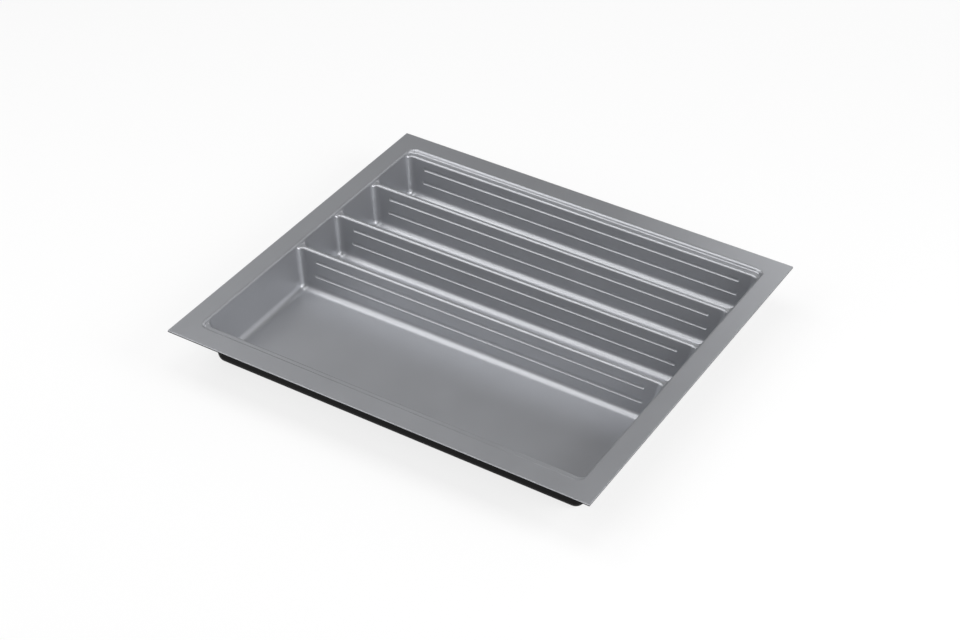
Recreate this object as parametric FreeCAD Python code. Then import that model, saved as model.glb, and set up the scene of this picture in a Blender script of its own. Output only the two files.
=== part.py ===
import FreeCAD, Part
import math
import os

# A drawer tray formed from one plastic sheet. A flat flange surrounds a shallow recess, four pockets are
# sunk below the recess, and the sheet stands up between them as three hollow ridges.
# X runs along the ridges, Y from the front to the rear and Z up. The origin is under the middle of the
# tray, level with the underside of the pocket floors. Sizes are in millimetres, angles in degrees.

# Overall size
tray_length = 540.0
tray_width = 490.0
tray_height = 57.8

# The sheet: a silver layer with a black one bonded under it
silver_layer = 1.1
black_layer = 1.1

# Flange, from its cut edge to the pocket walls at the two ends and to the recess at the front and rear, and
# the rounding that the cutter leaves along the cut edge
end_flange = 25.0
side_flange = 27.0
cut_edge_radius = 0.3

# Recess: the step from the flange down to the ridge tops and to the front and rear ledges, and how far it
# reaches past the pockets' end walls
step_depth = 4.0
step_draft = 20.0
step_foot_radius = 2.0
recess_corner_radius = 10.0
ledge_width = 9.4
end_overlap = 0.3

# Folds of the sheet, measured inside the fold, on the underside
rim_fold_radius = 1.2
ridge_fold_radius = 0.5

# Pockets: equal narrow ones at the rear, and one wide pocket in what is left at the front
narrow_pockets = 3
narrow_opening = 73.2
ridge_flat = 1.0
end_draft = 9.8
side_draft = 7.2
pocket_corner_radius = 9.5
floor_radius = 9.0

# Stiffening grooves along both long walls of every pocket, each given by its drop below the flange
groove_drops = (16.4, 34.8)
groove_length = 443.0
groove_radius = 3.8
groove_depth = 1.0

# How far the cutting shapes run past the sheet, how near two points count as the same, and the most of a
# wall that a rounding may take up
overrun = 10.0
same_place = 1e-4
rounded_share = 0.95

sheet = silver_layer + black_layer
rim_radius = rim_fold_radius + sheet
ridge_radius = ridge_fold_radius + sheet
ledge_level = tray_height - step_depth
half_length = tray_length / 2
half_width = tray_width / 2


def fold_run(draft):
    """How far a fold of radius 1 between a level face and a drafted wall reaches along either."""
    return math.tan(math.radians(45 - draft / 2))


# Both roundings of a ridge reach in from its two walls, and the flat is what is left between them
ridge_top = ridge_flat + 2 * ridge_radius * fold_run(side_draft)
narrow_pitch = narrow_opening + ridge_top

# The recess, and roundings that fit on the walls that they end on
recess_end = half_length - end_flange + end_overlap
recess_side = half_width - side_flange
step_wall = step_depth / math.cos(math.radians(step_draft)) - rim_radius * fold_run(step_draft)
foot_radius = min(step_foot_radius, rounded_share * step_wall / fold_run(step_draft))
edge_radius = min(cut_edge_radius, rounded_share * silver_layer)
pocket_floor_radius = min(floor_radius, rounded_share * pocket_corner_radius)


def pocket_spans():
    """Front and rear edge of each pocket at the ledge level, from the rear of the tray to the front."""
    rear = recess_side - ledge_width
    spans = []
    for number in range(narrow_pockets):
        far = rear - number * narrow_pitch
        spans.append((far - narrow_opening, far))
    spans.append((-recess_side + ledge_width, rear - narrow_pockets * narrow_pitch))
    return spans


def drafted_block(half_x, near_y, far_y, level, drafts, grow, bottom, top):
    """Block that tapers downwards, its walls set at one level and then moved outwards by grow."""
    slope_x, slope_y = (math.tan(math.radians(draft)) for draft in drafts)
    grow_x, grow_y = (grow / math.cos(math.radians(draft)) for draft in drafts)
    rings = []
    for z in (bottom, top):
        x = half_x - (level - z) * slope_x + grow_x
        front = near_y + (level - z) * slope_y - grow_y
        rear = far_y - (level - z) * slope_y + grow_y
        corners = ((-x, front), (x, front), (x, rear), (-x, rear))
        rings.append([FreeCAD.Vector(corner_x, corner_y, z) for corner_x, corner_y in corners])
    lower, upper = rings
    outlines = [lower[::-1], upper]
    for start in range(4):
        end = (start + 1) % 4
        outlines.append([lower[start], lower[end], upper[end], upper[start]])
    faces = [Part.Face(Part.makePolygon(outline + outline[:1])) for outline in outlines]
    shell = Part.makeShell(faces)
    shell.sewShape()
    return Part.makeSolid(shell)


def round_uprights(block, radius):
    """Round the four edges that run from the bottom of a block to its top."""
    uprights = [edge for edge in block.Edges if abs(edge.Vertexes[0].Z - edge.Vertexes[1].Z) > same_place]
    return block.makeFillet(radius, uprights)


def level_edges(shape, z):
    """Edges that lie at one level."""
    return [edge for edge in shape.Edges if all(abs(vertex.Z - z) < same_place for vertex in edge.Vertexes)]


def recess_space(grow):
    """Space above the flange and inside the recess, down to a surface that lies grow inside the sheet."""
    flange_level = tray_height - grow
    bottom = ledge_level - grow
    drafts = (step_draft, step_draft)
    top = tray_height + overrun
    block = drafted_block(recess_end, -recess_side, recess_side, tray_height, drafts, grow, bottom, top)
    block = round_uprights(block, recess_corner_radius + grow)
    block = block.makeFillet(foot_radius + grow, level_edges(block, bottom))
    corner = FreeCAD.Vector(-half_length - overrun, -half_width - overrun, flange_level)
    above = Part.makeBox(tray_length + 2 * overrun, tray_width + 2 * overrun, 2 * overrun, corner)
    space = above.fuse(block).removeSplitter()
    reach = half_length - end_flange / 2
    rim = [edge for edge in level_edges(space, flange_level) if edge.BoundBox.XMax < reach
           and edge.BoundBox.XMin > -reach]
    return space.makeFillet(rim_radius - grow, rim)


def groove_space(y_at_ledge, inward, drop, grow):
    """Round-ended groove in one long wall, where inward is +1 on a front wall and -1 on a rear wall."""
    slope = math.radians(side_draft)
    wall_y = y_at_ledge + inward * (drop - step_depth) * math.tan(slope)
    stand_off = groove_radius - groove_depth
    y = wall_y + inward * stand_off * math.cos(slope)
    z = tray_height - drop + stand_off * math.sin(slope)
    radius = groove_radius + grow
    half_run = groove_length / 2 - groove_radius
    start = FreeCAD.Vector(-half_run, y, z)
    end = FreeCAD.Vector(half_run, y, z)
    rod = Part.makeCylinder(radius, 2 * half_run, start, FreeCAD.Vector(1, 0, 0))
    return rod.fuse([Part.makeSphere(radius, start), Part.makeSphere(radius, end)])


def pocket_space(span, grow):
    """Space inside one pocket, with its wall grooves, down to a surface that lies grow inside the sheet."""
    near_y, far_y = span
    floor_level = sheet - grow
    # The end walls are set at the flange, and the long walls at the ledge level
    end_shift = step_depth * math.tan(math.radians(end_draft))
    half_x = half_length - end_flange - end_shift
    drafts = (end_draft, side_draft)
    top = tray_height + overrun / 2
    block = drafted_block(half_x, near_y, far_y, ledge_level, drafts, grow, floor_level, top)
    block = round_uprights(block, pocket_corner_radius + grow)
    block = block.makeFillet(pocket_floor_radius + grow, level_edges(block, floor_level))
    grooves = []
    for drop in groove_drops:
        grooves.append(groove_space(near_y, 1, drop, grow))
        grooves.append(groove_space(far_y, -1, drop, grow))
    return block.fuse(grooves).removeSplitter()


def mouth_edges(space, pocket, grow):
    """Edges of the joined space that run round the mouth of one pocket."""
    lowest = ledge_level - grow - same_place
    wall = pocket.Shells[0]
    found = []
    for edge in space.Edges:
        if min(vertex.Z for vertex in edge.Vertexes) < lowest:
            continue
        middle = Part.Vertex(edge.valueAt((edge.FirstParameter + edge.LastParameter) / 2))
        if middle.distToShape(wall)[0] < same_place:
            found.append(edge)
    return found


def space_above(grow):
    """All the space above a surface that lies grow inside the sheet, with its folded edges rounded."""
    recess = recess_space(grow)
    pockets = [pocket_space(span, grow) for span in pocket_spans()]
    space = recess.fuse(pockets).removeSplitter()
    edges = [edge for pocket in pockets for edge in mouth_edges(space, pocket, grow)]
    return space.makeFillet(ridge_radius - grow, edges)


def cut_edges(layer):
    """Upper edges of a layer along the four sides of the flange."""
    found = []
    for edge in level_edges(layer, tray_height):
        middle = edge.valueAt((edge.FirstParameter + edge.LastParameter) / 2)
        if min(half_length - abs(middle.x), half_width - abs(middle.y)) < same_place:
            found.append(edge)
    return found


# Three surfaces bound the two layers: the visible face, the bond between them and the underside
above_face, above_bond, above_underside = (space_above(grow) for grow in (0.0, silver_layer, sheet))

outline = Part.makeBox(
    tray_length,
    tray_width,
    tray_height + overrun,
    FreeCAD.Vector(-half_length, -half_width, -overrun),
)

silver = outline.common(above_bond).cut(above_face)
layers = {
    "silver_top_layer": silver.makeFillet(edge_radius, cut_edges(silver)),
    "black_backing_layer": outline.common(above_underside).cut(above_bond),
}

os.makedirs("parts", exist_ok=True)
for name, shape in layers.items():
    print(name, len(shape.Solids), "solid, valid", shape.isValid())
    shape.exportStep(os.path.join("parts", name + ".step"))
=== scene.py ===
import math

import bpy
from mathutils import Matrix, Vector

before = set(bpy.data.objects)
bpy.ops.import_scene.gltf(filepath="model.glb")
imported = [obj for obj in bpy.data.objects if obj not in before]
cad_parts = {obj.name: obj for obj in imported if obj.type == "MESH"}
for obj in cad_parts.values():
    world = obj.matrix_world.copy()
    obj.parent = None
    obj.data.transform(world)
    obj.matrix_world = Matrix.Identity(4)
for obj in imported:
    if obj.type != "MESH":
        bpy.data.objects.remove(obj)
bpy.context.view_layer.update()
scene = bpy.context.scene


# Silver top layer
# The upper face of the sheet: a layer of metallic grey plastic, extruded together with the black backing and
# drawn down over the mould with it. It keeps a fine satin grain from the extruder's roller.

def new_material(name):
    """A node material with its shader, ready for links."""
    material = bpy.data.materials.new(name)
    material.use_nodes = True
    return material, material.node_tree, material.node_tree.nodes["Principled BSDF"]


def roller_grain_group():
    """The sheet's grain: small soft pits, and slow clouds where the roller pressed more or less."""
    group = bpy.data.node_groups.new("Roller grain", "ShaderNodeTree")
    sockets = group.interface
    sockets.new_socket("Pit size", in_out="INPUT", socket_type="NodeSocketFloat")
    sockets.new_socket("Cloud size", in_out="INPUT", socket_type="NodeSocketFloat")
    sockets.new_socket("Pits", in_out="OUTPUT", socket_type="NodeSocketFloat")
    sockets.new_socket("Clouds", in_out="OUTPUT", socket_type="NodeSocketFloat")
    nodes, links = group.nodes, group.links
    given = nodes.new("NodeGroupInput")
    result = nodes.new("NodeGroupOutput")
    place = nodes.new("ShaderNodeTexCoord")
    for size, detail, output in (("Pit size", 2.0, "Pits"), ("Cloud size", 3.0, "Clouds")):
        per_metre = nodes.new("ShaderNodeMath")
        per_metre.operation = "DIVIDE"
        per_metre.inputs[0].default_value = 1.0
        noise = nodes.new("ShaderNodeTexNoise")
        noise.inputs["Detail"].default_value = detail
        links.new(given.outputs[size], per_metre.inputs[1])
        links.new(place.outputs["Object"], noise.inputs["Vector"])
        links.new(per_metre.outputs["Value"], noise.inputs["Scale"])
        links.new(noise.outputs["Fac"], result.inputs[output])
    return group


roller_grain = roller_grain_group()


def add_grain(tree, pit_size, cloud_size):
    """The grain group, placed in one material with its own sizes."""
    grain = tree.nodes.new("ShaderNodeGroup")
    grain.node_tree = roller_grain
    grain.inputs["Pit size"].default_value = pit_size
    grain.inputs["Cloud size"].default_value = cloud_size
    return grain


def spread(tree, value, low, high):
    """Turn a 0 to 1 value into one from low to high."""
    span = tree.nodes.new("ShaderNodeMapRange")
    span.inputs["To Min"].default_value = low
    span.inputs["To Max"].default_value = high
    tree.links.new(value, span.inputs["Value"])
    return span.outputs["Result"]


def blend_colours(tree, factor, dark, light):
    """Mix two colours by a 0 to 1 value."""
    mix = tree.nodes.new("ShaderNodeMix")
    mix.data_type = "RGBA"
    mix.inputs["A"].default_value = (*dark, 1.0)
    mix.inputs["B"].default_value = (*light, 1.0)
    tree.links.new(factor, mix.inputs["Factor"])
    return mix.outputs["Result"]


def press_in(tree, shader, height, depth):
    """Give a shader a bump of real depth."""
    bump = tree.nodes.new("ShaderNodeBump")
    bump.inputs["Distance"].default_value = depth
    tree.links.new(height, bump.inputs["Height"])
    tree.links.new(bump.outputs["Normal"], shader.inputs["Normal"])


silver, tree, shader = new_material("satin_silver_plastic")
grain = add_grain(tree, pit_size=0.0006, cloud_size=0.06)
tone = blend_colours(tree, grain.outputs["Clouds"], dark=(0.417, 0.426, 0.448), light=(0.447, 0.456, 0.48))
tree.links.new(tone, shader.inputs["Base Color"])
tree.links.new(spread(tree, grain.outputs["Clouds"], 0.37, 0.43), shader.inputs["Roughness"])
shader.inputs["Metallic"].default_value = 0.75
press_in(tree, shader, grain.outputs["Pits"], depth=0.00001)
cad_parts["silver_top_layer"].data.materials[0] = silver


# Black backing layer
# The back of the sheet: black plastic of the same kind, bonded to the silver all over. It shows on the
# underside, round the outside of the compartments and as the dark lower half of the flange's cut edge.

black, tree, shader = new_material("satin_black_plastic")
grain = add_grain(tree, pit_size=0.001, cloud_size=0.05)
tone = blend_colours(tree, grain.outputs["Clouds"], dark=(0.002, 0.002, 0.0022), light=(0.004, 0.004, 0.0043))
tree.links.new(tone, shader.inputs["Base Color"])
tree.links.new(spread(tree, grain.outputs["Clouds"], 0.48, 0.56), shader.inputs["Roughness"])
shader.inputs["Specular IOR Level"].default_value = 0.08
press_in(tree, shader, grain.outputs["Pits"], depth=0.00002)
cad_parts["black_backing_layer"].data.materials[0] = black


# Table and studio
# A pale matt table under the tray, and square soft lamps around and above it, all equally far from its
# middle. The strongest stands at its right.

floor_mesh = bpy.data.meshes.new("table")
reach = 6.0
corners = [(-reach, -reach, 0), (reach, -reach, 0), (reach, reach, 0), (-reach, reach, 0)]
floor_mesh.from_pydata(corners, [], [(0, 1, 2, 3)])
table = bpy.data.objects.new("table", floor_mesh)
scene.collection.objects.link(table)
table_paint, tree, shader = new_material("pale_table")
shader.inputs["Base Color"].default_value = (0.9, 0.9, 0.9, 1.0)
shader.inputs["Roughness"].default_value = 0.9
shader.inputs["Specular IOR Level"].default_value = 0.0
light_path = tree.nodes.new("ShaderNodeLightPath")
seen = light_path.outputs["Is Camera Ray"]
for ray in ("Is Glossy Ray", "Is Transmission Ray"):
    either = tree.nodes.new("ShaderNodeMath")
    either.operation = "MAXIMUM"
    tree.links.new(seen, either.inputs[0])
    tree.links.new(light_path.outputs[ray], either.inputs[1])
    seen = either.outputs["Value"]
white_share = tree.nodes.new("ShaderNodeMath")
white_share.operation = "MULTIPLY"
white_share.inputs[1].default_value = 0.8
glow = tree.nodes.new("ShaderNodeEmission")
mix = tree.nodes.new("ShaderNodeMixShader")
output = tree.nodes["Material Output"]
tree.links.new(seen, white_share.inputs[0])
tree.links.new(white_share.outputs["Value"], mix.inputs["Fac"])
tree.links.new(shader.outputs["BSDF"], mix.inputs[1])
tree.links.new(glow.outputs["Emission"], mix.inputs[2])
tree.links.new(mix.outputs["Shader"], output.inputs["Surface"])
floor_mesh.materials.append(table_paint)

room = bpy.data.worlds.new("white_room")
room.use_nodes = True
scene.world = room
room.node_tree.nodes["Background"].inputs["Color"].default_value = (1.0, 1.0, 1.0, 1.0)
room.node_tree.nodes["Background"].inputs["Strength"].default_value = 0.01


def add_softbox(name, heading, rise, power):
    """A soft lamp that faces the tray, at a heading from +X towards +Y and a rise above the table."""
    data = bpy.data.lights.new(name, "AREA")
    data.size = 1.0
    data.energy = power
    lamp = bpy.data.objects.new(name, data)
    turn, lift = math.radians(heading), math.radians(rise)
    way = Vector((math.cos(lift) * math.cos(turn), math.cos(lift) * math.sin(turn), math.sin(lift)))
    lamp.location = 2.0 * way
    lamp.rotation_euler = way.to_track_quat("Z", "Y").to_euler()
    scene.collection.objects.link(lamp)


add_softbox("right_softbox", heading=5, rise=34, power=22.2)
add_softbox("front_right_softbox", heading=325, rise=22, power=9.1)
add_softbox("front_left_softbox", heading=240, rise=50, power=9.2)
add_softbox("low_front_left_softbox", heading=225, rise=20, power=6.8)
add_softbox("left_softbox", heading=180, rise=55, power=9.7)
add_softbox("top_softbox", heading=0, rise=90, power=9.7)
add_softbox("rear_right_softbox", heading=60, rise=40, power=1.7)
add_softbox("rear_softbox", heading=90, rise=22, power=5.7)
add_softbox("rear_left_softbox", heading=135, rise=30, power=1.2)


# Camera
# It stands where the photographer's did, to the right of the tray's front and well above it.

camera_data = bpy.data.cameras.new("camera")
camera_data.sensor_width = 36.0
camera_data.lens = 79.6
camera = bpy.data.objects.new("camera", camera_data)
place = Vector((0.99351, -1.67802, 1.50964))
aim = Vector((0.01455, -0.04075, 0.0578))
roll = math.radians(1.026)
turn = (aim - place).to_track_quat("-Z", "Y").to_matrix() @ Matrix.Rotation(roll, 3, "Z")
camera.location = place
camera.rotation_euler = turn.to_euler()
scene.collection.objects.link(camera)
scene.camera = camera
scene.view_settings.view_transform = "Standard"
